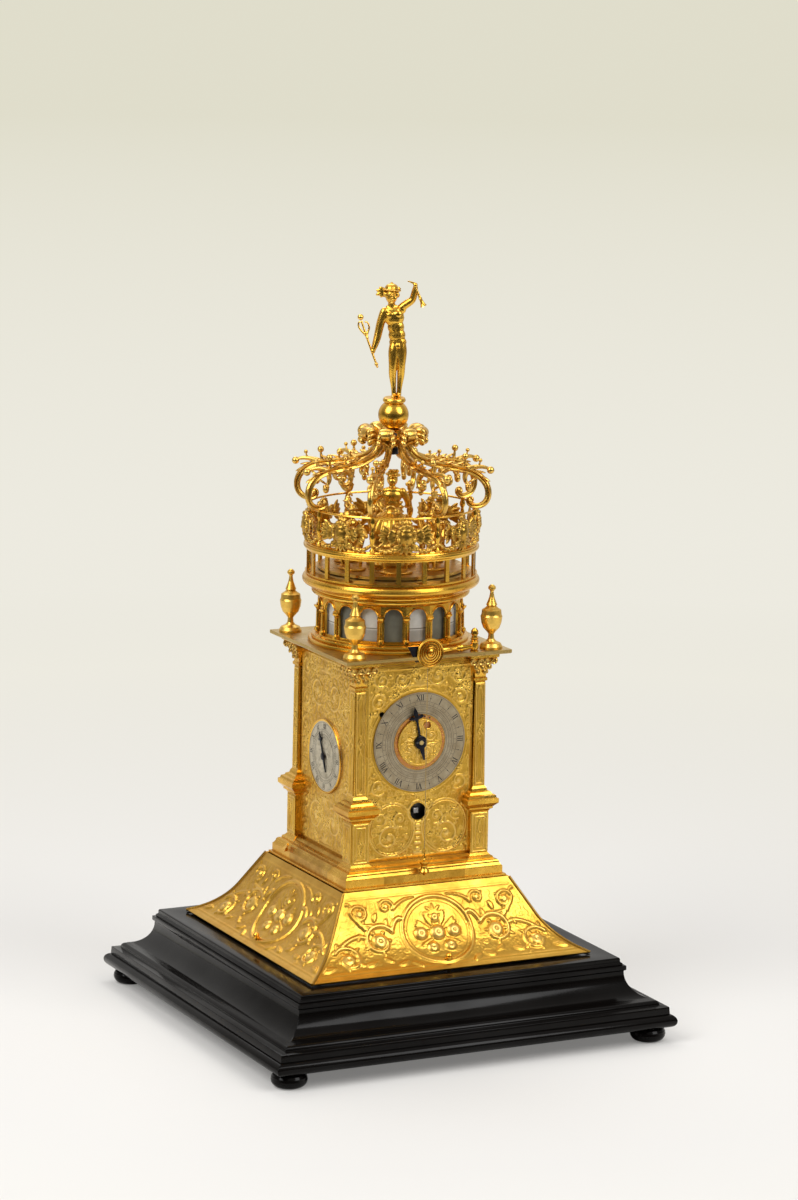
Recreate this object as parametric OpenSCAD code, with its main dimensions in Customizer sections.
// Tabletop astronomical automaton clock: a gilt brass tower on an ebony base.
// The front faces -Y, +Z is up, and the origin is under the middle of the four feet.

/* [Ebony base] */
// Side of the bottom plate
base_side = 300; // [290:1:320]
// Side of the top board
board_side = 240.6; // [236:0.2:250]
// Height of the bun feet
foot_h = 10.5; // [8:0.5:14]
// Thickness of the bottom plate
plate_t = 9; // [7:0.5:10]

/* [Embossed skirt] */
// Side of the skirt at the bottom
skirt_side = 210; // [206:1:214]
// Height of the skirt's top above the table
skirt_top = 105.5; // [104:0.5:107]
// Sheet thickness of the skirt
skirt_t = 1.2; // [0.8:0.1:1.6]

/* [Case] */
// Side of the top plate
top_side = 124.4; // [122:0.2:126]
// Distance of a pillar's axis from the middle, along X and Y
pillar_at = 45.2; // [45:0.1:45.6]
// Distance of the panels' outer faces from the middle
panel_at = 47.5; // [47.3:0.1:47.7]
// Thickness of the panels
panel_t = 2.5; // [2:0.1:2.6]
// Height of the urn finials
urn_h = 44; // [40:1:46]

/* [Dials] */
// Height of the front dial's centre
dial_z = 201.9; // [201.9:0.1:201.9]
// Outer radius of the silver hour ring
hour_ring_r = 34.5; // [34:0.1:35]
// Outer radius of the copper ring
copper_r = 19.2; // [19:0.1:19.2]
// Radius of the gilt centre disc
centre_r = 16.6; // [16:0.1:16.8]
// Height of the side dials' centres
side_dial_z = 185.9; // [184:0.1:188]
// Radius of the side dials
side_dial_r = 25; // [24:0.1:26]
// Radius of the winding hole
winding_r = 5.9; // [5.5:0.1:6]

/* [Drum and gallery] */
// Number of arches round the drum
arches = 18; // [18:1:18]
// Number of posts round the gallery
posts = 20; // [18:1:22]
// Outer radius of the drum's base moulding
drum_r = 56.5; // [56:0.1:57]
// Outer radius of the cornice
cornice_r = 60.8; // [60:0.1:61]

/* [Crown and figure] */
// Number of scroll arches and masks
crown_count = 8; // [8:1:8]
// Largest radius of the scroll arches
crown_r = 69.6; // [69:0.1:70]
// Radius of the ball
ball_r = 10.4; // [10:0.1:10.6]

/* [Moving parts] */
// Module of the going train's teeth
tooth_module = 0.6; // [0.6:0.1:0.6]
// Running clearance of arbors in their bores, on the radius
running = 0.05; // [0.03:0.01:0.08]

/* [Hidden] */
$fn = 48;

gilt = "goldenrod";
ebony = "#181412";
silver = "#b8b2a2";
blued = "#1c1c22";
copper = "#b87048";
steel = "#5c5a58";

// Levels of the base, skirt and case
plate_top = foot_h + plate_t;
board_z = 50.5;
board_top = 55.6;
floor_top = skirt_top + 1.5;
plinth_top = 121;
panel_top = 255;
plate_z = 261.4;
plate_top_z = 264.1;
foot_at = 135;
stud_at = 98.5;
stud_r = 1.2;

// Levels of the drum, gallery and crown
arcade_z = 270.4;
cornice_z = 296.2;
gallery_z = 312.5;
rail_z = 328;
band_z = 333;
wire_z = 357.6;
table_z = 314.5;
stand_z = 338.5;
ball_z = 420;
disc_z = 429.5;
peg_r = 1.5;
drum_inner_r = 43.5;
pane_r = 45;
arcade_r = 47.8;
arcade_first = -83.5;
spring_z = 288;
gallery_r = 57.2;
band_r = 57.6;

// Hollow inside the four pillars
inner_half = 44.9;
slot_half = 40.5;
door_slot_half = 41;
strip_gap = 0.03;
hinge_pin_r = 0.8;

// Front dial, its arbor and the train behind it
front_face = -panel_at;
fusee_z = 153.3;
great_teeth = 60;
third_pinion_teeth = 12;
third_z = fusee_z + tooth_module * (great_teeth + third_pinion_teeth) / 2;
third_wheel_teeth = 36;
hour_teeth = 54;
escape_teeth = 54;
crown_pinion_teeth = 8;
crown_x = tooth_module * (escape_teeth + crown_pinion_teeth) / 2;
barrel_x = -26;
strike_x = 20;
strike_z = 133;
hour_arbor_r = 1.5;
centre_pipe_r = 2.3;
alarm_pipe_r = 3.1;
arbor_r = 1.2;
verge_y = -8;
verge_r = 0.8;
front_bar_y = -38;
back_bar_y = 20;
bar_t = 2;
hour_wheel_y = -34;
escape_wheel_y = 9.5;
wheel_t = 1.5;
hammer_x = 35;
hammer_z = 256;
post_r = 2.5;
frame_post_at = 33;
carousel_arbor_r = 3;

// Rear door
door_half = 40.2;
door_low = plinth_top + 0.4;
door_high = panel_top - 0.4;
hinge_x = 39;
hinge_y = panel_at - panel_t / 2;
latch_x = -36;
latch_z = 188;
case_latch_at = [-59.7, 37, 113];
case_latch_pin_r = 0.8;

// Plumb line
post_at = [36, -57];
arm_z = 267.2;
plumb_disc_y = -64;
plumb_disc_r = 10;
plumb_x = -2.7;
line_bottom = 131;
line_d = 0.5;
line_points = [
    [-2.7, -64, 256.6], [-2.7, -64, 248], [-2.7, -64, 239], [-2.7, -64, 230], [-2.7, -64, 221],
    [-2.7, -64, 212], [-2.7, -64, 203], [-2.7, -64, 194], [-2.7, -64, 185], [-2.7, -64, 176],
    [-2.7, -64, 167], [-2.7, -64, 158], [-2.7, -64, 149], [-2.7, -64, 140], [-2.7, -64, 131]
];

// Points of an arc in the plane of an outline
function arc_points(centre, r, from, to, steps = 6) = [
    for (i = [0 : steps]) let (a = from + (to - from) * i / steps)
        [centre[0] + r * cos(a), centre[1] + r * sin(a)]
];

// An outline of half widths and heights, closed by its own mirror image
module mirrored_outline(outline) {
    last = len(outline) - 1;
    polygon(concat(outline, [for (i = [last : -1 : 0]) [-outline[i][0], outline[i][1]]]));
}

// A square block whose four sides follow one outline, mitred at the corners
module square_turned(outline) {
    length = 2 * max([for (p = outline) p[0]]) + 2;
    intersection() {
        rotate([90, 0, 0]) linear_extrude(length, center = true) mirrored_outline(outline);
        rotate([90, 0, 90]) linear_extrude(length, center = true) mirrored_outline(outline);
    }
}

// Four strips of one section round a square, mitred where they meet
module mitred_frame(section, reach, gap = 0.05) {
    for (side = [0 : 3]) rotate([0, 0, 90 * side]) intersection() {
        rotate([90, 0, 90]) linear_extrude(2 * reach, center = true) polygon([for (p = section) [-p[0], p[1]]]);
        linear_extrude(600) polygon([[0, -gap], [reach, -reach - gap], [-reach, -reach - gap]]);
    }
}

// One straight strip on each of the four sides
module four_strips(section, half_lengths) {
    for (side = [0 : 3]) rotate([0, 0, 90 * side]) rotate([90, 0, 90])
        linear_extrude(2 * half_lengths[side], center = true) polygon([for (p = section) [-p[0], p[1]]]);
}

// Copies at the four corners of a square
module four_corners(at) {
    for (sx = [-1, 1], sy = [-1, 1]) translate([sx * at, sy * at, 0]) children();
}

// Copies round the Z axis
module around(count, first = 0) {
    for (i = [0 : count - 1]) rotate([0, 0, first + 360 * i / count]) children();
}

// A wheel in the XY plane with slender straight-sided teeth
module toothed_wheel(teeth, thickness, bore_r, turn = 0) {
    pitch_r = teeth * tooth_module / 2;
    tip_r = pitch_r + 0.5 * tooth_module;
    root_r = pitch_r - 0.9 * tooth_module;
    pitch_angle = 360 / teeth;
    linear_extrude(thickness) difference() {
        polygon([
            for (i = [0 : teeth - 1]) let (a = turn + i * pitch_angle)
                for (q = [[root_r, -0.24], [tip_r, -0.1], [tip_r, 0.1], [root_r, 0.24]])
                    [q[0] * cos(a + q[1] * pitch_angle), q[0] * sin(a + q[1] * pitch_angle)]
        ]);
        if (bore_r > 0) circle(bore_r);
    }
}

// Turns a shape built along Z so that it runs along +Y from y, at x and z
module along_y(x, y, z) {
    translate([x, y, z]) rotate([-90, 0, 0]) children();
}

// A tapered limb between two points
module limb(from, to, r_from, r_to) {
    hull() {
        translate(from) sphere(r_from, $fn = 14);
        translate(to) sphere(r_to, $fn = 14);
    }
}

// A flat bar that follows points in a plane, with its width at each point
module ribbon(points, widths, thickness) {
    last = len(points) - 1;
    function side_of(i) = let (
        a = points[max(i - 1, 0)],
        b = points[min(i + 1, last)],
        d = (b - a) / norm(b - a)
    ) [-d[1], d[0]];
    linear_extrude(thickness, center = true) polygon(concat(
        [for (i = [0 : last]) points[i] + side_of(i) * widths[i] / 2],
        [for (i = [last : -1 : 0]) points[i] - side_of(i) * widths[i] / 2]
    ));
}

// Ebony base

module bun_feet() {
    color(ebony) four_corners(foot_at) rotate_extrude() polygon(concat(
        [[0, 0], [7, 0]], arc_points([7, foot_h / 2], foot_h / 2, -80, 80, 8), [[7, foot_h], [0, foot_h]]
    ));
}

module base_plate() {
    r = plate_t / 2;
    half = base_side / 2;
    color(ebony) square_turned(concat(
        [[half - r, foot_h]], arc_points([half - r, foot_h + r], r, -75, 75, 8), [[half - r, plate_top]]
    ));
}

// Outer outline of the big moulding: a step, a small round and a deep cove
function base_profile() = concat(
    [[146, plate_top], [145.6, 24.6], [141, 25.2]],
    arc_points([137.6, 25.4], 3, 0, 80, 3),
    arc_points([139.9, 46.2], 17.6, 258, 182, 8),
    [[122.3, 46.8], [123.6, 47.4], [123.6, board_z]]
);

module base_mouldings() {
    inner = 104;
    color(ebony) mitred_frame(concat([[inner, plate_top]], base_profile(), [[inner, board_z]]), 160);
}

module base_top_board() {
    half = board_side / 2;
    recess = 0.8;
    color(ebony) difference() {
        square_turned([[half + 1.4, board_z], [half + 1.4, 51.8], [half, 52.8], [half, board_top - 0.6],
            [half - 0.6, board_top]]);
        translate([0, 0, board_top]) cube([skirt_side + 2, skirt_side + 2, 2 * recess], center = true);
    }
}

// Embossed skirt

// Concave side of the skirt: a shallow start, an arc, then a straight rise
function skirt_profile(inset) = let (
    arc_r = 54 + inset,
    start = 22,
    end = 60,
    centre = [103.5 + 54 * sin(start), 58.4 + 54 * cos(start)],
    rise_x = centre[0] - arc_r * sin(end),
    rise_z = centre[1] - arc_r * cos(end)
) concat(
    [for (a = [start : 4.75 : end]) [centre[0] - arc_r * sin(a), centre[1] - arc_r * cos(a)]],
    [[rise_x - (skirt_top - rise_z) / tan(end), skirt_top]]
);

module skirt_shell() {
    half = skirt_side / 2;
    low = board_top - 0.8;
    inner = skirt_profile(skirt_t);
    color(gilt) difference() {
        square_turned(concat([[half, low], [half, 57.6]], skirt_profile(0)));
        square_turned(concat([[half - 4, low - 1], [half - 4, inner[0][1] - 0.6]], inner));
        translate([0, 0, skirt_top]) cube([2 * 55, 2 * 55, 12], center = true);
        around(4) translate([0, -stud_at, board_top - 2]) cylinder(r = stud_r, h = 12);
    }
}

module skirt_studs() {
    color(gilt) around(4) translate([0, -stud_at, 0]) rotate_extrude() polygon([
        [0, 54.8], [stud_r, 54.8], [stud_r, 62.3], [2.6, 62.3], [2.6, 63.2], [1.8, 63.8], [2.2, 65], [1.4, 66.2],
        [0, 66.6]
    ]);
}

// Case

module case_floor() {
    color(gilt) translate([0, 0, skirt_top + 0.75]) cube([2 * 61.6, 2 * 61.6, 1.5], center = true);
}

// Half widths and heights of a pillar from its base to its astragal
function pillar_profile() = concat(
    [[14.5, floor_top], [14.5, 112.4], [13.8, 113], [13, 114.2]],
    arc_points([10.4, 114.6], 2.4, 0, 90, 4),
    [[9.6, 117.2], [9.6, 118.4], [8, 119.4], [6.75, 120.8]],
    [[6.75, 150], [7.6, 151.4], [9, 152.2], [9, 153.4], [10.6, 155], [12, 156.4], [12, 159.4], [10.8, 160],
     [10.4, 161.6], [8.6, 162.2], [7.8, 163.6], [6, 164.4], [5.6, 166], [4.5, 167.6]],
    [[3.8, 240.6], [4.9, 241.4], [4.9, 243], [4.1, 243.8], [4.1, 244.4]]
);

// Space taken by the panels and by the inside of the case
module case_inside() {
    height = plate_z - floor_top + 4;
    translate([0, 0, floor_top - 2 + height / 2]) {
        cube([2 * inner_half, 2 * inner_half, height], center = true);
        cube([2 * slot_half, 2 * panel_at + 0.2, height], center = true);
        cube([2 * panel_at + 0.2, 2 * slot_half, height], center = true);
        translate([0, 50, 0]) cube([2 * door_slot_half, 30, height], center = true);
    }
}

// The pillars before their sunk fields are cut, a hair wider where clear is more than 0
module whole_pillars(clear = 0) {
    difference() {
        four_corners(pillar_at) square_turned([for (p = pillar_profile()) [p[0] + clear, p[1]]]);
        case_inside();
    }
}

// The bell-shaped capitals, widened in the same way
module whole_capitals(clear = 0) {
    bell = [[4.1, 244.4], [4.6, 248], [5.8, 251.4], [8.2, 254.4], [8.2, 256.6], [10.8, 258.4], [10.8, plate_z]];
    difference() {
        four_corners(pillar_at) square_turned([for (p = bell) [p[0] + clear, p[1]]]);
        case_inside();
    }
}

module corner_pillars() {
    die_h = 24;
    color(gilt) difference() {
        whole_pillars();
        translate([-70, case_latch_at[1], case_latch_at[2]]) rotate([0, 90, 0])
            cylinder(r = case_latch_pin_r + running, h = 14.2);
        for (side = [0 : 3], s = [-1, 1]) rotate([0, 0, 90 * side])
            translate([s * pillar_at, -pillar_at - 6.75, 135.5]) cube([8, 0.8, die_h], center = true);
    }
}

module pillar_capitals() {
    color(gilt) whole_capitals();
}

module plinth_mouldings() {
    section = concat(
        [[inner_half, floor_top], [59.7, floor_top], [59.7, 112.4], [59, 113], [58.2, 114.2]],
        arc_points([55.6, 114.6], 2.4, 0, 90, 4),
        [[54.8, 117.2], [54.8, 118.4], [52.4, 119.4], [50.4, plinth_top], [inner_half, plinth_top]]
    );
    color(gilt) difference() {
        four_strips(section, [38.2, 38.2, 40.9, 38.2]);
        whole_pillars(strip_gap);
        translate([hinge_x, hinge_y, 117]) cylinder(r = hinge_pin_r, h = 10);
    }
}

module cornice_mouldings() {
    section = [
        [inner_half, panel_top], [48.4, panel_top], [48.4, 256.2], [50, 257], [50, 258.2], [51.4, 258.8],
        [54, 260], [54, plate_z], [inner_half, plate_z]
    ];
    color(gilt) difference() {
        four_strips(section, [36.8, 36.8, 40.9, 36.8]);
        whole_capitals(strip_gap);
        translate([hinge_x, hinge_y, 250]) cylinder(r = hinge_pin_r, h = 9);
    }
}

// A flat panel on the front, with nothing cut in it
module plain_panel() {
    height = panel_top - plinth_top;
    translate([0, -panel_at + panel_t / 2, plinth_top + height / 2])
        cube([2 * (slot_half - 0.1), panel_t, height], center = true);
}

module front_panel() {
    peg_hole = [-28.6, 223];
    color(gilt) difference() {
        plain_panel();
        along_y(0, -60, dial_z) cylinder(r = alarm_pipe_r + running, h = 30);
        along_y(0, -60, fusee_z) cylinder(r = winding_r, h = 30);
        along_y(peg_hole[0], -60, peg_hole[1]) cylinder(r = 1.85, h = 30);
    }
}

module left_panel() {
    color(gilt) difference() {
        rotate([0, 0, -90]) plain_panel();
        translate([-60, 0, side_dial_z]) rotate([0, 90, 0]) cylinder(r = arbor_r + running, h = 30);
    }
}

module right_panel() {
    color(gilt) difference() {
        rotate([0, 0, 90]) plain_panel();
        translate([30, 0, side_dial_z]) rotate([0, 90, 0]) cylinder(r = arbor_r + running, h = 30);
    }
}

module rear_door() {
    height = door_high - door_low;
    color(gilt) difference() {
        translate([0, hinge_y, door_low + height / 2]) cube([2 * door_half, panel_t, height], center = true);
        translate([hinge_x, hinge_y, door_low - 1]) cylinder(r = hinge_pin_r + running, h = 5);
        translate([hinge_x, hinge_y, door_high - 4]) cylinder(r = hinge_pin_r + running, h = 5);
        along_y(latch_x, 40, latch_z) cylinder(r = arbor_r + running, h = 20);
        along_y(strike_x, 40, strike_z) cylinder(r = 4, h = 20);
    }
}

module door_hinge_pins() {
    color(steel) translate([hinge_x, hinge_y, 0]) {
        translate([0, 0, 117]) cylinder(r = hinge_pin_r, h = 7);
        translate([0, 0, 252]) cylinder(r = hinge_pin_r, h = 6);
    }
}

// Turning catch of the rear door: knob outside, tongue inside, shown unlocked
module door_latch() {
    color(gilt) {
        along_y(latch_x, 43.4, latch_z) cylinder(r = arbor_r, h = 6);
        translate([latch_x, 43.9, latch_z - 2]) cube([3, 1.1, 9], center = true);
        along_y(latch_x, panel_at + 0.4, latch_z) rotate_extrude()
            polygon([[0, 0], [2.6, 0], [2.6, 0.8], [1.4, 1.4], [1.4, 2.2], [2.4, 3.2], [1.6, 4.6], [0, 5]]);
        translate([latch_x, panel_at + 2, latch_z]) cube([1.6, 1.6, 9], center = true);
    }
}

// Small lever in the rear left pedestal that hooks the case to the skirt
module case_latch() {
    color(gilt) translate(case_latch_at) rotate([0, -90, 0]) {
        translate([0, 0, -3]) cylinder(r = case_latch_pin_r, h = 4);
        translate([0, 0, 0.4]) {
            cylinder(r = 1.8, h = 1.2);
            rotate([0, 0, -50]) translate([3.4, 0, 0.6]) cube([7, 2, 1.2], center = true);
        }
    }
}

module top_plate() {
    color(gilt) difference() {
        square_turned([[top_side / 2 - 0.6, plate_z], [top_side / 2, plate_z + 0.6], [top_side / 2, plate_top_z]]);
        translate([0, 0, plate_z - 1]) cylinder(r = carousel_arbor_r + running, h = 5);
        translate([hammer_x, 0, plate_z + 1]) cube([9, 6, 8], center = true);
    }
}

// Urn finial profile as fractions of its height, radii in millimetres
module urn_finials() {
    h = urn_h;
    color(gilt) four_corners(51.5) translate([0, 0, plate_top_z]) rotate_extrude() polygon([
        [0, 0], [7.8, 0], [7.9, 0.03 * h], [6.6, 0.08 * h], [3.6, 0.11 * h], [2.2, 0.15 * h], [1.9, 0.22 * h],
        [3.2, 0.26 * h], [5.6, 0.32 * h], [6.9, 0.4 * h], [7.5, 0.5 * h], [6.9, 0.53 * h], [6.6, 0.6 * h],
        [4.6, 0.63 * h], [3.2, 0.66 * h], [3.8, 0.68 * h], [2.9, 0.73 * h], [1.8, 0.8 * h], [1.2, 0.88 * h],
        [1.4, 0.9 * h], [2.6, 0.93 * h], [2.6, 0.96 * h], [1.4, 0.99 * h], [0, h]
    ]);
}

// Front dial

module hour_ring() {
    color(silver) along_y(0, front_face - 0.9, dial_z) difference() {
        cylinder(r = hour_ring_r, h = 0.9, $fn = 96);
        translate([0, 0, -1]) cylinder(r = copper_r + 0.3, h = 3, $fn = 96);
    }
}

module alarm_disc() {
    color(copper) along_y(0, 0, dial_z) difference() {
        union() {
            translate([0, 0, front_face - 0.9]) cylinder(r = copper_r, h = 0.6, $fn = 96);
            translate([0, 0, front_face - 0.5]) cylinder(r = alarm_pipe_r, h = 8);
        }
        translate([0, 0, front_face - 2]) cylinder(r = centre_pipe_r + running, h = 20);
        for (s = [-1, 1]) rotate([0, 0, 270 + 5 * s]) translate([17.9, 0, front_face - 2]) cylinder(r = 0.5, h = 4);
    }
}

module centre_disc() {
    color(gilt) along_y(0, 0, dial_z) difference() {
        union() {
            translate([0, 0, front_face - 1.8]) cylinder(r = centre_r, h = 0.6, $fn = 96);
            translate([0, 0, front_face - 1.3]) cylinder(r = centre_pipe_r, h = 9);
        }
        translate([0, 0, front_face - 3]) cylinder(r = hour_arbor_r + running, h = 20);
        translate([5.2, -11.6, front_face - 3]) cylinder(r = 2.4, h = 4);
    }
}

// Pointer built upright in the XZ plane with its hub on the Y axis
module pointer(tip, tail, hub_r, bore_r, cross_at, thickness) {
    rotate([90, 0, 0]) linear_extrude(thickness) difference() {
        union() {
            circle(hub_r);
            polygon([[-0.9, 0], [-0.5, tip], [0.5, tip], [0.9, 0]]);
            polygon([[-1.2, -tail], [1.2, -tail], [0.7, 0], [-0.7, 0]]);
            if (cross_at > 0) translate([0, cross_at]) polygon([[-3.2, 1.6], [0, -1], [3.2, 1.6], [0, 0.8]]);
        }
        if (bore_r > 0) circle(bore_r);
    }
}

module hour_hand() {
    color(blued) translate([0, front_face - 2.2, dial_z]) {
        rotate([0, -12, 0]) pointer(25.8, 12.6, 4.6, hour_arbor_r, 17.5, 0.9);
        rotate([90, 0, 0]) translate([0, 0, 0.9]) difference() {
            cylinder(r = 2.4, h = 0.7);
            translate([0, 0, -1]) cylinder(r = hour_arbor_r + 0.4, h = 3);
        }
    }
}

// One side dial on the left, facing -X
module side_dial(fixed_colour) {
    color(fixed_colour) translate([-panel_at, 0, side_dial_z]) rotate([0, -90, 0]) difference() {
        union() {
            cylinder(r = side_dial_r, h = 1.2, $fn = 96);
            cylinder(r = side_dial_r + 1, h = 0.6, $fn = 96);
        }
        translate([0, 0, -1]) cylinder(r = arbor_r + running, h = 4);
    }
}

module side_hand() {
    color(blued) {
        translate([-panel_at - 1.6, 0, side_dial_z]) rotate([0, 0, -90]) rotate([0, -22, 0])
            pointer(19.4, 11.5, 3.6, 0, 15, 0.9);
        translate([-panel_at - 3.2, 0, side_dial_z]) rotate([0, 90, 0]) cylinder(r = arbor_r, h = 12);
    }
}

module left_dial() { side_dial(silver); }
module left_hand() { side_hand(); }
module right_dial() { rotate([0, 0, 180]) side_dial(silver); }
module right_hand() { rotate([0, 0, 180]) side_hand(); }

// Plumb line

module plumb_post() {
    color(gilt) translate([post_at[0], post_at[1], plate_top_z]) rotate_extrude() polygon([
        [0, 0], [3, 0], [3, 0.6], [2.2, 0.9], [2.2, 1.2], [1.6, 1.3], [1.6, 5.6], [2.6, 5.8], [2.8, 6.8], [2, 7.6],
        [2.8, 8.6], [2, 9.4], [1.8, 10.6], [2.6, 12], [2.4, 14], [1.2, 15.6], [0, 16]
    ]);
}

module plumb_arm() {
    span = [-post_at[0], plumb_disc_y + 1.2 - post_at[1]];
    length = norm(span);
    disc_z = arm_z - 0.9;
    color(gilt) difference() {
        union() {
            translate([post_at[0], post_at[1], arm_z]) {
                translate([0, 0, -1.5]) cylinder(r = 2.6, h = 3.8);
                rotate([0, 0, atan2(span[1], span[0])]) rotate([0, 90, 0]) rotate_extrude() polygon([
                    [0, 2], [1.3, 2], [1.6, 5], [2.2, 11], [1.4, 12], [2.3, 13], [1.4, 14.2], [1.8, 20],
                    [1.9, length - 3], [1, length], [0, length]
                ]);
            }
            along_y(0, plumb_disc_y - 1, disc_z) {
                cylinder(r = plumb_disc_r, h = 2, $fn = 64);
                translate([0, 0, -0.8]) cylinder(r = 4, h = 1);
            }
            translate([-10, plumb_disc_y + 1.2, disc_z - 1])
                rotate([90, 0, 0]) linear_extrude(0.6, center = true) polygon([[-5, 5], [6, 5], [4, -6], [1, -6]]);
        }
        translate([post_at[0], post_at[1], arm_z - 4]) cylinder(r = 1.6 + running, h = 8);
    }
}

// The thread as a tube through the points of its route
module plumb_line() {
    sides = 8;
    rings = len(line_points);
    color("#8a6a20") polyhedron(
        points = [
            for (p = line_points, k = [0 : sides - 1])
                p + [line_d / 2 * cos(360 * k / sides), line_d / 2 * sin(360 * k / sides), 0]
        ],
        faces = concat(
            [[for (k = [sides - 1 : -1 : 0]) k]],
            [for (i = [0 : rings - 2], k = [0 : sides - 1]) let (n = (k + 1) % sides)
                [i * sides + k, i * sides + n, (i + 1) * sides + n, (i + 1) * sides + k]],
            [[for (k = [0 : sides - 1]) (rings - 1) * sides + k]]
        )
    );
}

module plumb_bob() {
    color(gilt) translate([plumb_x, plumb_disc_y, 119.4]) rotate_extrude() polygon([
        [0, 0], [0.5, 1], [1.6, 1.8], [2.8, 3], [1.9, 4.2], [1.7, 8], [2.7, 9.2], [2.6, 10], [0.8, 11],
        [0.7, line_bottom - 119.4], [0, line_bottom - 119.4]
    ]);
}

// Drum and gallery

module drum_base() {
    color(gilt) rotate_extrude($fn = 96) polygon(concat(
        [[drum_inner_r, plate_top_z], [drum_r - 0.4, plate_top_z]],
        arc_points([drum_r - 1.3, 265.4], 1.3, -60, 90, 5),
        [[drum_r - 2.2, 266.8]],
        arc_points([drum_r - 3.4, 268], 1.2, -60, 90, 5),
        [[52.2, 269.3], [51.4, 269.6], [51.4, arcade_z], [drum_inner_r, arcade_z]]
    ));
}

// A ring with flat sides, one corner at each column
module flat_sided_ring(outer, inner, low, high) {
    corners = [for (i = [0 : arches - 1]) arcade_first + 360 * i / arches];
    translate([0, 0, low]) linear_extrude(high - low) difference() {
        polygon([for (a = corners) [outer * cos(a), outer * sin(a)]]);
        polygon([for (a = corners) [inner * cos(a), inner * sin(a)]]);
    }
}

module drum_arcade() {
    arch_r = 6.6;
    opening_low = 271.8;
    color(gilt) difference() {
        union() {
            flat_sided_ring(arcade_r + 1.8, arcade_r, arcade_z, cornice_z);
            around(arches, arcade_first) translate([arcade_r + 1.6, 0, 0]) {
                translate([0, 0, arcade_z + 1.2]) cube([2.6, 4.4, 2.4], center = true);
                translate([0, 0, (arcade_z + spring_z) / 2]) cube([2, 2.6, spring_z - arcade_z], center = true);
                translate([0, 0, spring_z + 0.6]) cube([2.6, 4.4, 1.8], center = true);
            }
        }
        around(arches, arcade_first + 180 / arches) translate([arcade_r, 0, 0]) {
            translate([0, 0, (opening_low + spring_z) / 2])
                cube([10, 2 * arch_r - 1, spring_z - opening_low], center = true);
            translate([0, 0, spring_z]) rotate([0, 90, 0]) cylinder(r = arch_r, h = 10, center = true);
        }
    }
}

module drum_panes() {
    color(silver) difference() {
        rotate_extrude($fn = 96) polygon([
            [pane_r, arcade_z], [pane_r + 0.9, arcade_z], [pane_r + 0.9, cornice_z], [pane_r, cornice_z]
        ]);
        around(arches, arcade_first) translate([pane_r, 0, spring_z]) cube([6, 0.3, 40], center = true);
    }
}

module drum_cornice() {
    color(gilt) rotate_extrude($fn = 96) polygon(concat(
        [[drum_inner_r, cornice_z], [50.4, cornice_z], [51.2, 297], [52.2, 297.4]],
        arc_points([52.6, 299.2], 1.7, -70, 70, 6),
        [[53.4, 301.6], [54.2, 302.6], [56, 303.4], [56.6, 303.9]],
        arc_points([cornice_r - 3.4, 307.3], 3.4, -70, 85, 8),
        [[57.8, 311], [57.8, 311.5], [59, 311.8], [59, gallery_z], [drum_inner_r, gallery_z]]
    ));
}

module gallery_deck() {
    color("#7a5a20") translate([0, 0, gallery_z]) difference() {
        cylinder(r = 54.6, h = 1.2, $fn = 96);
        translate([0, 0, -1]) cylinder(r = carousel_arbor_r + running, h = 4);
    }
}

module gallery_posts() {
    color(gilt) around(posts, -93) translate([gallery_r, 0, 0]) {
        translate([0, 0, (gallery_z + rail_z) / 2]) cube([1.6, 3.2, rail_z - gallery_z], center = true);
    }
}

module gallery_rail() {
    color(gilt) rotate_extrude($fn = 96) polygon(concat(
        [[55.4, rail_z], [58.6, rail_z]],
        arc_points([58.4, (rail_z + band_z) / 2], 1.8, -80, 80, 6),
        [[58.4, band_z], [55.4, band_z]]
    ));
}

// Crown

// Band of masks between two rings; each mask is a boss with two wings
module mask_ring() {
    mid_z = (band_z + wire_z) / 2;
    color(gilt) {
        rotate_extrude($fn = 96) polygon([
            [band_r - 1.2, band_z], [band_r + 0.6, band_z], [band_r + 0.6, band_z + 1.6], [band_r - 1.2, band_z + 1.6]
        ]);
        rotate_extrude($fn = 96) translate([band_r, wire_z]) circle(0.8, $fn = 8);
        around(crown_count, -61.4) translate([band_r, 0, 0]) {
            translate([-0.4, 0, mid_z]) cube([2, 26, 13], center = true);
            translate([0.4, 0, mid_z]) cube([4, 11, wire_z - band_z], center = true);
            translate([1.2, 0, mid_z]) rotate([0, 90, 0]) cylinder(r = 7.5, h = 2);
        }
        around(crown_count, -83.9) translate([band_r - 0.4, 0, mid_z])
            cube([1.6, 5, wire_z - band_z], center = true);
    }
}

// Side view of one scroll arch, as radius and height
arch_path = [
    [10, 404.4], [10.6, 399.4], [13, 394.8], [18, 391], [26, 388], [36, 386.2], [45, 385.4], [53.5, 384.2],
    [60.6, 381.2], [crown_r - 4, 376], [crown_r - 2.2, 370], [66.4, 364.4], [63, 361.4], [58, 360.3],
    [54, 361.4], [52, 364]
];
arch_widths = [5.4, 5.4, 5.2, 5.2, 5.2, 5.2, 5.2, 5, 4.6, 4.4, 4.2, 4, 3.8, 3.6, 3.4, 3];

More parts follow.
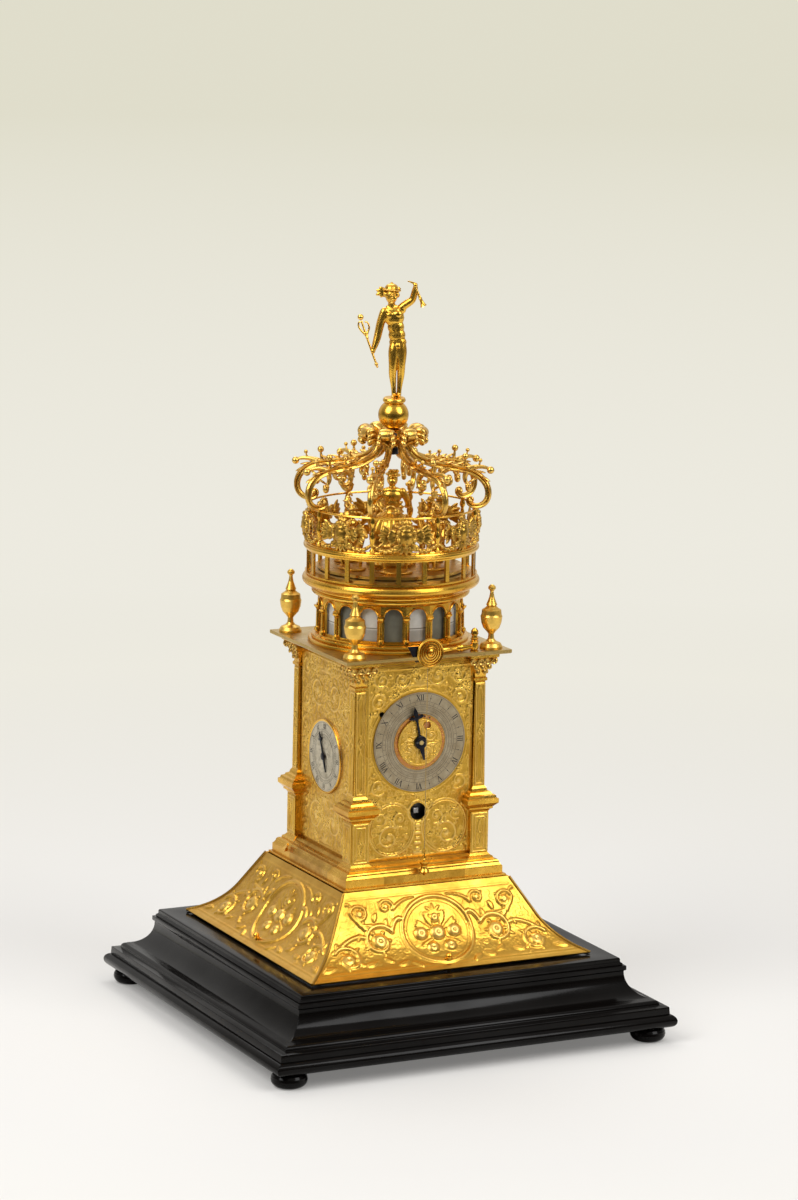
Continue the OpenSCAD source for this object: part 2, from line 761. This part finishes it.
module crown_arches() {
    color(gilt) around(crown_count, -83.9) rotate([90, 0, 0]) {
        ribbon(arch_path, arch_widths, 3.4);
        translate([58, 359.4]) cube([4, 1.9, 3], center = true);
        translate([54.8, 363.8]) cylinder(r = 3.2, h = 3.8, center = true);
        ribbon([[13.6, 394.6], [13.8, 400], [17, 404.4]], [5, 5, 5], 5);
        translate([19.6, 404.4]) cylinder(r = 6, h = 7, center = true);
        ribbon([[38, 386], [35, 381.5], [37, 376], [41, 375]], [2.2, 2, 1.8, 1.6], 2);
        translate([41.2, 375.4]) sphere(2.2);
        ribbon([[52, 384], [50.4, 378.6], [53, 373.6]], [2.2, 2, 1.6], 2);
        translate([53.2, 372.8]) sphere(1.9);
        ribbon([[53, 384.6], [61, 387.4], [67.6, 385.6]], [3.4, 2.4, 2], 2.6);
        translate([68.2, 385.2]) sphere(2.6);
        ribbon([[49.4, 385.6], [50.6, 393]], [1.8, 1.4], 1.6);
        translate([50.6, 393.6]) sphere(2.2);
        ribbon([[37.4, 386.6], [37.8, 391.6]], [1.6, 1.2], 1.4);
        translate([37.8, 392]) sphere(1.5);
    }
}

module crown_collar() {
    color(gilt) difference() {
        rotate_extrude() polygon([
            [0, 398], [4.6, 398], [6.8, 399.4], [7.6, 401], [7.6, 403], [6.4, 404.4], [8.4, 406.4],
            [8.4, 409], [6, 410.2], [0, 411]
        ]);
        around(crown_count, -83.9) translate([9.8, 0, 400]) cube([6, 3.6, 30], center = true);
    }
    color(steel) translate([0, 0, 393]) cylinder(r = 4, h = 5, $fn = 6);
}

module orb() {
    color(gilt) difference() {
        translate([0, 0, ball_z]) sphere(ball_r);
        translate([0, 0, 405]) cube([30, 30, 12], center = true);
        translate([0, 0, 434.6]) cube([30, 30, 10], center = true);
        translate([0, 0, 424]) cylinder(r = peg_r, h = 10);
    }
}

// Standing figure, plain limbs at the real size and pose
figure_view = -26.4;
function fig(x, depth, z) = [x, -depth, z];

module top_figure() {
    color(gilt) rotate([0, 0, figure_view]) {
        translate([0.4, 0, disc_z + 0.5]) rotate([4, 0, 0]) cylinder(r = 6.4, h = 1.4);
        translate([0, 0, 424]) cylinder(r = peg_r, h = 7);
        limb(fig(0.4, 0.4, 432.2), fig(-1.6, 1.2, 451), 1.6, 2.4);
        limb(fig(-1.6, 1.2, 451), fig(0.4, 0, 470), 2.6, 3.9);
        limb(fig(3, -2, 433.4), fig(1.8, 1.6, 451.6), 1.5, 2.2);
        limb(fig(1.8, 1.6, 451.6), fig(2.4, -0.4, 470), 2.5, 3.8);
        limb(fig(0.2, 2, 431.8), fig(-1.4, 3.6, 431.6), 1.2, 1);
        limb(fig(1, 0, 470), fig(-1.4, 0, 480), 4.6, 4.4);
        limb(fig(-1.4, 0, 480), fig(-3, 0, 491), 4.6, 5.2);
        limb(fig(-8.4, 0, 491), fig(2, 0, 493.6), 2.6, 2.6);
        limb(fig(-3, 0, 492), fig(-3.2, 0.4, 500), 2, 2);
        translate(fig(-3.4, 0.6, 503)) sphere(4.2, $fn = 16);
        translate(fig(-3.4, 0.4, 505.4)) cylinder(r1 = 6, r2 = 3, h = 2.4, $fn = 16);
        limb(fig(-8.8, 0, 490.4), fig(-11.2, 0, 477), 2.1, 1.7);
        limb(fig(-11.2, 0, 477), fig(-14.6, 2.6, 464.4), 1.7, 1.3);
        limb(fig(2.4, 0, 493.6), fig(11, 0.6, 497), 2.1, 1.7);
        limb(fig(11, 0.6, 497), fig(11.9, 2, 508.6), 1.7, 1.4);
        limb(fig(11.9, 2, 508.6), fig(8, 2.6, 512.2), 1.2, 0.7);
        limb(fig(-7.4, 0, 505), fig(-11.4, -2, 506.4), 1.2, 0.5);
    }
}

module figure_staff() {
    foot = fig(-12.4, 3.8, 455);
    head = fig(-23.6, 1, 484);
    along = (head - foot) / norm(head - foot);
    color(gilt) rotate([0, 0, figure_view]) {
        limb(foot, head, 0.9, 0.8);
        translate(head) sphere(2, $fn = 16);
        translate(foot) sphere(1.5, $fn = 16);
        for (s = [-1, 1]) limb(head - along * 8, head - along * 1 + [3.4 * s, 0, 1.6 * s], 0.8, 0.7);
    }
}

module figure_horn() {
    color(gilt) rotate([0, 0, figure_view]) {
        limb(fig(12.6, 3.4, 508), fig(18.4, 3, 497.5), 0.8, 1.4);
        limb(fig(18.4, 3, 497.5), fig(19.6, 2.9, 495), 1.4, 2.1);
    }
}

// Automaton

module carousel_table() {
    color(gilt) difference() {
        union() {
            translate([0, 0, table_z]) cylinder(r = 50, h = 2, $fn = 96);
            translate([0, 0, table_z + 2]) rotate_extrude()
                polygon([[0, 0], [17, 0], [17, 2], [14, 4], [13, 18], [15.4, 20], [15.4, 22], [0, 22]]);
        }
        translate([0, 0, table_z - 1]) cylinder(r = carousel_arbor_r, h = 24.5);
    }
}

module carousel_arbor() {
    color(steel) {
        translate([0, 0, 244]) cylinder(r = carousel_arbor_r, h = 94);
        translate([0, 0, 252]) cylinder(r = 14, h = 2);
    }
}

// A small robed rider: skirt, body and head
module small_figure(height) {
    cylinder(r1 = 0.2 * height, r2 = 0.1 * height, h = 0.55 * height, $fn = 32);
    translate([0, 0, 0.5 * height]) cylinder(r1 = 0.09 * height, r2 = 0.13 * height, h = 0.28 * height, $fn = 32);
    translate([0, 0, 0.89 * height]) sphere(0.1 * height, $fn = 24);
}

module carousel_figures() {
    color(gilt) {
        translate([0, 0, stand_z]) small_figure(44);
        around(6, 10) translate([33, 0, table_z + 2]) small_figure(44);
    }
}

// Movement

module movement_plates() {
    top_z = 246;
    color(steel) for (z = [111, top_z]) difference() {
        union() {
            translate([0, 0, z + 1]) cube([76, 76, 2], center = true);
            if (z == top_z) for (s = [-1, 1])
                translate([hammer_x, 5 * s, z + 6.5]) cube([5, 1.6, 13], center = true);
        }
        four_corners(frame_post_at) translate([0, 0, z - 1]) cylinder(r = post_r, h = 4);
        translate([0, 0, z - 1]) cylinder(r = carousel_arbor_r + running, h = 4);
        translate([crown_x, verge_y, z - 1]) cylinder(r = verge_r + running, h = 4);
        along_y(hammer_x, -10, hammer_z) cylinder(r = 1.4 + running, h = 20);
    }
}

// Four posts, a front bar and a back bar that hold the arbors, and the verge's lower bracket
module movement_uprights() {
    color(steel) {
        four_corners(frame_post_at) translate([0, 0, floor_top]) cylinder(r = post_r, h = 143);
        difference() {
            union() {
                translate([-4, front_bar_y + bar_t / 2, 179.5]) cube([60, bar_t, 133], center = true);
                translate([-4, back_bar_y + bar_t / 2, 179.5]) cube([60, bar_t, 133], center = true);
                translate([crown_x - 3, -2, 150]) cube([6, back_bar_y + 2.5, 3]);
                translate([crown_x, verge_y + 4, 151.5]) cube([6, 14, 3], center = true);
            }
            along_y(0, -50, dial_z) cylinder(r = hour_arbor_r + running, h = 80);
            along_y(0, -50, third_z) cylinder(r = arbor_r + running, h = 80);
            along_y(0, -50, fusee_z) cylinder(r = 2 + running, h = 80);
            along_y(barrel_x, -50, fusee_z) cylinder(r = 1.8 + running, h = 80);
            along_y(crown_x, 10, third_z) cylinder(r = arbor_r + running, h = 20);
            along_y(strike_x, -50, strike_z) cylinder(r = 2 + running, h = 80);
            translate([crown_x, verge_y, 140]) cylinder(r = verge_r + running, h = 20);
        }
    }
}

module going_barrel() {
    color("peru") {
        along_y(barrel_x, front_bar_y - 1, fusee_z) cylinder(r = 1.8, h = 62);
        along_y(barrel_x, -16, fusee_z) cylinder(r = 11.5, h = 21);
    }
}

module going_fusee() {
    color("peru") {
        along_y(0, front_bar_y - 0.6, fusee_z) cylinder(r = 2, h = 62);
        translate([0, -41.4, fusee_z]) cube([2.8, 6, 2.8], center = true);
        along_y(0, -20, fusee_z) toothed_wheel(great_teeth, wheel_t, 0, 90);
        along_y(0, -18.6, fusee_z) cylinder(r1 = 11.5, r2 = 6, h = 22);
    }
}

module third_wheel() {
    pinion_turn = 90 + 180 / third_pinion_teeth;
    color("peru") {
        along_y(0, front_bar_y - 1, third_z) cylinder(r = arbor_r, h = 61);
        along_y(0, -22, third_z) toothed_wheel(third_pinion_teeth, 5, 0, pinion_turn);
        along_y(0, hour_wheel_y, third_z) toothed_wheel(third_wheel_teeth, wheel_t, 0, 90);
        along_y(0, escape_wheel_y, third_z) toothed_wheel(escape_teeth, wheel_t, 0, 0);
    }
}

module hour_wheel() {
    wheel_turn = 90 + 180 / hour_teeth;
    color("peru") {
        along_y(0, front_face - 4.1, dial_z) cylinder(r = hour_arbor_r, h = 74);
        along_y(0, hour_wheel_y, dial_z) toothed_wheel(hour_teeth, wheel_t, 0, wheel_turn);
    }
}

module crown_wheel() {
    teeth = 15;
    pinion_turn = 180 + 180 / crown_pinion_teeth;
    color("peru") {
        along_y(crown_x, -1, third_z) cylinder(r = arbor_r, h = 23.6);
        along_y(crown_x, 8, third_z) toothed_wheel(crown_pinion_teeth, 4.5, 0, pinion_turn);
        along_y(crown_x, -2, third_z) cylinder(r = 9, h = 1.4);
        along_y(crown_x, -4.6, third_z) difference() {
            cylinder(r = 9, h = 4);
            translate([0, 0, -1]) cylinder(r = 8, h = 6);
            around(teeth) translate([9, 0, 0]) rotate([0, 0, 12]) cube([4, 2.6, 4], center = true);
        }
    }
}

module balance_verge() {
    color(steel) translate([crown_x, verge_y, 0]) {
        translate([0, 0, 150.5]) cylinder(r = verge_r, h = 96.5);
        for (s = [-1, 1]) translate([0, 0, third_z + 8 * s]) rotate([0, 0, 45 * s])
            translate([0, 1.2, 0]) cube([1, 2.4, 3], center = true);
        translate([0, 0, 236]) {
            difference() {
                cylinder(r = 13, h = 1.8);
                translate([0, 0, -1]) cylinder(r = 11, h = 4);
            }
            translate([0, 0, 0.9]) cube([23, 1.8, 1.4], center = true);
        }
    }
}

module strike_barrel() {
    color("peru") {
        along_y(strike_x, -14, strike_z) cylinder(r = 10, h = 18);
        along_y(strike_x, front_bar_y - 1, strike_z) cylinder(r = 2, h = 83);
        along_y(strike_x, 6, strike_z) toothed_wheel(36, wheel_t, 0, 0);
    }
}

module bell() {
    color("#9a8050") difference() {
        union() {
            rotate_extrude() polygon(concat(
                [[30, 268], [31, 269.4]], arc_points([0, 272], 28, 4, 84, 9), [[3, 300], [3, 297.6]],
                arc_points([0, 272], 25.6, 83, 3, 9)
            ));
            translate([0, 0, plate_top_z]) cylinder(r = 5.2, h = 34);
        }
        translate([0, 0, 260]) cylinder(r = 4, h = 50);
    }
}

module bell_hammer() {
    color(steel) {
        translate([hammer_x, 0, hammer_z]) rotate([90, 0, 0]) cylinder(r = 1.4, h = 12, center = true);
        translate([hammer_x, 0, (hammer_z + 276) / 2]) cube([1.8, 1.8, 276 - hammer_z], center = true);
        translate([hammer_x - 6, 0, 276]) rotate([0, 90, 0]) cylinder(r = 3, h = 6.6);
    }
}

bun_feet();
base_plate();
base_mouldings();
base_top_board();
skirt_shell();
skirt_studs();
case_floor();
plinth_mouldings();
corner_pillars();
pillar_capitals();
front_panel();
left_panel();
right_panel();
rear_door();
door_hinge_pins();
door_latch();
case_latch();
cornice_mouldings();
top_plate();
urn_finials();
hour_ring();
alarm_disc();
centre_disc();
hour_hand();
left_dial();
left_hand();
right_dial();
right_hand();
plumb_post();
plumb_arm();
plumb_line();
plumb_bob();
drum_base();
drum_arcade();
drum_panes();
drum_cornice();
gallery_deck();
gallery_posts();
gallery_rail();
mask_ring();
crown_arches();
crown_collar();
orb();
top_figure();
figure_staff();
figure_horn();
carousel_table();
carousel_arbor();
carousel_figures();
movement_plates();
movement_uprights();
going_barrel();
going_fusee();
third_wheel();
hour_wheel();
crown_wheel();
balance_verge();
strike_barrel();
bell();
bell_hammer();
